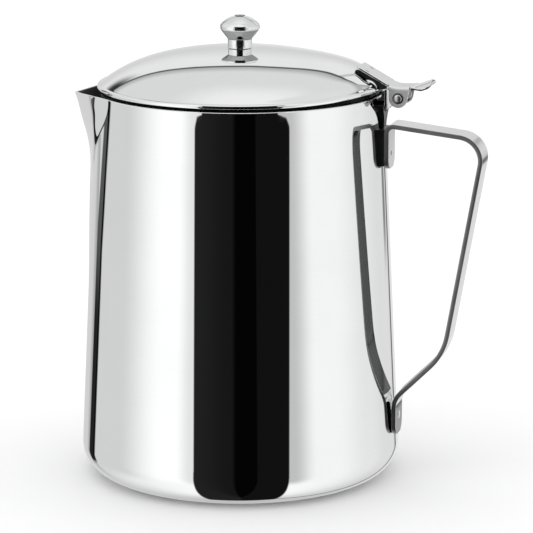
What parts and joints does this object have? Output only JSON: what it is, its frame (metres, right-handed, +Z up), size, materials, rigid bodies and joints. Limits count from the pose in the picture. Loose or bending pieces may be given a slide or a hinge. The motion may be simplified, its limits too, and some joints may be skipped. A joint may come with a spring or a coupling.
{
  "type": "hot water jug",
  "caption": "Tapered stainless steel jug with a beak spout, bent strap handle and domed knob-topped lid that swings on a riveted hinge with a thumb lever.",
  "frame": {"origin": "centre of the flat base, on the axis of the round body, at the level the jug stands on", "axes": "+Z up along the body's axis, +X towards the handle and -X towards the spout"},
  "size_m": [0.1785, 0.136, 0.1962],
  "materials": {
    "polished_steel": "mirror-polished stainless steel",
    "strap_steel": "satin to polished stainless steel strap with darker sheared edges",
    "weld_steel": "dull spot weld mark"
  },
  "bodies": {
    "jug": {"body_shell": "polished_steel", "handle": "strap_steel", "handle_weld_spots": "weld_steel", "hinge_bracket": "strap_steel"},
    "lid": {"lid_shell": "polished_steel", "lid_knob": "polished_steel", "knob_washer": "strap_steel", "knob_screw": "strap_steel", "thumb_lever": "strap_steel", "lever_weld_spots": "weld_steel", "hinge_pin": "polished_steel"}
  },
  "joints": [
    {"name": "lid_hinge", "type": "hinge", "parent": "jug", "child": "lid", "pos_m": [0.0694, 0, 0.1644], "axis": [0, 1, 0], "range_deg": [0, 68]}
  ]
}
